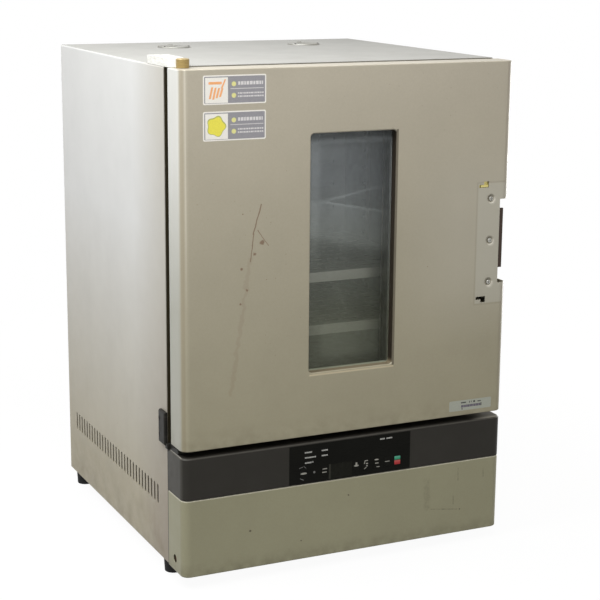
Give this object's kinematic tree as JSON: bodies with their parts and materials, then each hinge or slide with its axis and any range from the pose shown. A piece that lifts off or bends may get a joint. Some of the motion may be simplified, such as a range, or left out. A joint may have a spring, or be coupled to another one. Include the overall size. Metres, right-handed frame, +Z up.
{
  "type": "laboratory drying oven",
  "caption": "Free-standing laboratory drying oven with a side-hinged windowed door, a keypad band over a lower front panel, shelves in a fan-stirred chamber and rotary exhaust ports on top.",
  "frame": {"origin": "centre of the footprint's bounding box on the plane that the feet stand on", "axes": "+Z up, +X to the right as seen from the front, +Y from the door to the rear panel"},
  "size_m": [0.612, 0.631, 0.8609],
  "materials": {
    "case_paint": "satin",
    "frame_paint": "satin, stained",
    "base_zinc": "satin",
    "stainless": "brushed",
    "mineral_wool": "matt",
    "steel_shaft": "ground",
    "motor_paint": "satin",
    "heater_sheath": "heat darkened",
    "port_metal": "satin",
    "dark_screws": "black oxide",
    "bracket_plate": "plated",
    "brass": "machined",
    "black_paint": "satin",
    "door_paint": "satin, worn",
    "panel_paint": "satin, scuffed",
    "door_inner_steel": "brushed",
    "glass": "clear",
    "silicone": "matt",
    "bright_screws": "plated",
    "yellow_zinc": "passivated",
    "latch_dark": "worn",
    "band_paint": "satin",
    "fascia": "glossy",
    "display_filter": "glossy",
    "circuit_board": "solder mask",
    "grey_plastic": "matt",
    "breaker_black": "matt",
    "lever_plastic": "satin",
    "foot_rubber": "matt",
    "key_grey": "satin",
    "key_power": "satin"
  },
  "bodies": {
    "oven": {"outer_case": "case_paint", "base_pan": "base_zinc", "back_panel": "case_paint", "front_frame": "frame_paint", "divider": "base_zinc", "strike_plate": "base_zinc", "chamber_liner": "stainless", "chamber_wool": "mineral_wool", "rear_wool": "mineral_wool", "rear_baffle": "stainless", "motor_bracket": "base_zinc", "fan_motor": "motor_paint", "heater": "heater_sheath", "temperature_probes": "stainless", "shelf_posts": "stainless", "shelf_clips": "stainless", "exhaust_ports": "port_metal", "exhaust_screws": "dark_screws", "hinge_bracket": "bracket_plate", "hinge_bushes": "brass", "hinge_pins": "steel_shaft", "hinge_screws": "dark_screws", "hinge_block": "black_paint", "control_band": "band_paint", "lower_front_panel": "panel_paint", "panel_side_screws": "base_zinc", "control_overlay": "fascia", "display_window": "display_filter", "control_board": "circuit_board", "power_board": "circuit_board", "terminal_block": "grey_plastic", "breaker_body": "breaker_black", "cable_gland": "breaker_black", "feet": "foot_rubber"},
    "door": {"door_skin": "door_paint", "door_inner_pan": "door_inner_steel", "window_tunnel": "stainless", "window_panes": "glass", "window_seals": "silicone", "door_wool": "mineral_wool", "door_gasket": "silicone", "pivot_blocks": "steel_shaft", "handle_screws": "bright_screws", "handle_bracket": "yellow_zinc", "latch_pin": "steel_shaft"},
    "latch": {"latch_lever": "latch_dark"},
    "fan": {"fan_impeller": "stainless", "fan_shaft": "steel_shaft"},
    "upper_shelf": {"upper_shelf": "stainless"},
    "lower_shelf": {"lower_shelf": "stainless"},
    "damper_left": {"exhaust_damper_left": "port_metal"},
    "damper_right": {"exhaust_damper_right": "port_metal"},
    "breaker_lever": {"breaker_lever": "lever_plastic"},
    "key_menu": {"key_menu": "key_grey"},
    "key_timer": {"key_timer": "key_grey"},
    "key_shift": {"key_shift": "key_grey"},
    "key_down": {"key_down": "key_grey"},
    "key_up": {"key_up": "key_grey"},
    "key_enter": {"key_enter": "key_grey"},
    "key_power": {"key_power": "key_power"}
  },
  "joints": [
    {"name": "door_hinge", "type": "hinge", "parent": "oven", "child": "door", "pos_m": [-0.28, -0.27745, 0.54075], "axis": [0, 0, -1], "range_deg": [0, 110]},
    {"name": "latch_turn", "type": "hinge", "parent": "door", "child": "latch", "pos_m": [0.266, -0.28845, 0.544], "axis": [0, 0, -1], "range_deg": [0, 8]},
    {"name": "fan_spin", "type": "hinge", "parent": "oven", "child": "fan", "pos_m": [0, 0.16375, 0.5365], "axis": [0, 1, 0], "continuous": true},
    {"name": "upper_shelf_slide", "type": "slide", "parent": "oven", "child": "upper_shelf", "axis": [0, -1, 0], "range_m": [0, 0.02]},
    {"name": "lower_shelf_slide", "type": "slide", "parent": "oven", "child": "lower_shelf", "axis": [0, -1, 0], "range_m": [0, 0.02]},
    {"name": "damper_left_turn", "type": "hinge", "parent": "oven", "child": "damper_left", "pos_m": [-0.128, 0.15955, 0.8485], "axis": [0, 0, 1], "range_deg": [0, 90]},
    {"name": "damper_right_turn", "type": "hinge", "parent": "oven", "child": "damper_right", "pos_m": [0.133, 0.15955, 0.8485], "axis": [0, 0, 1], "range_deg": [0, 90]},
    {"name": "breaker_lever_turn", "type": "hinge", "parent": "oven", "child": "breaker_lever", "pos_m": [0.2905, -0.16245, 0.0775], "axis": [0, 1, 0], "range_deg": [0, 24]},
    {"name": "key_menu_press", "type": "slide", "parent": "oven", "child": "key_menu", "axis": [0, 1, 0], "range_m": [0, 0.0007], "stiffness_N_per_m": 800},
    {"name": "key_timer_press", "type": "slide", "parent": "oven", "child": "key_timer", "axis": [0, 1, 0], "range_m": [0, 0.0007], "stiffness_N_per_m": 800},
    {"name": "key_shift_press", "type": "slide", "parent": "oven", "child": "key_shift", "axis": [0, 1, 0], "range_m": [0, 0.0007], "stiffness_N_per_m": 800},
    {"name": "key_down_press", "type": "slide", "parent": "oven", "child": "key_down", "axis": [0, 1, 0], "range_m": [0, 0.0007], "stiffness_N_per_m": 800},
    {"name": "key_up_press", "type": "slide", "parent": "oven", "child": "key_up", "axis": [0, 1, 0], "range_m": [0, 0.0007], "stiffness_N_per_m": 800},
    {"name": "key_enter_press", "type": "slide", "parent": "oven", "child": "key_enter", "axis": [0, 1, 0], "range_m": [0, 0.0007], "stiffness_N_per_m": 800},
    {"name": "key_power_press", "type": "slide", "parent": "oven", "child": "key_power", "axis": [0, 1, 0], "range_m": [0, 0.0007], "stiffness_N_per_m": 800}
  ]
}
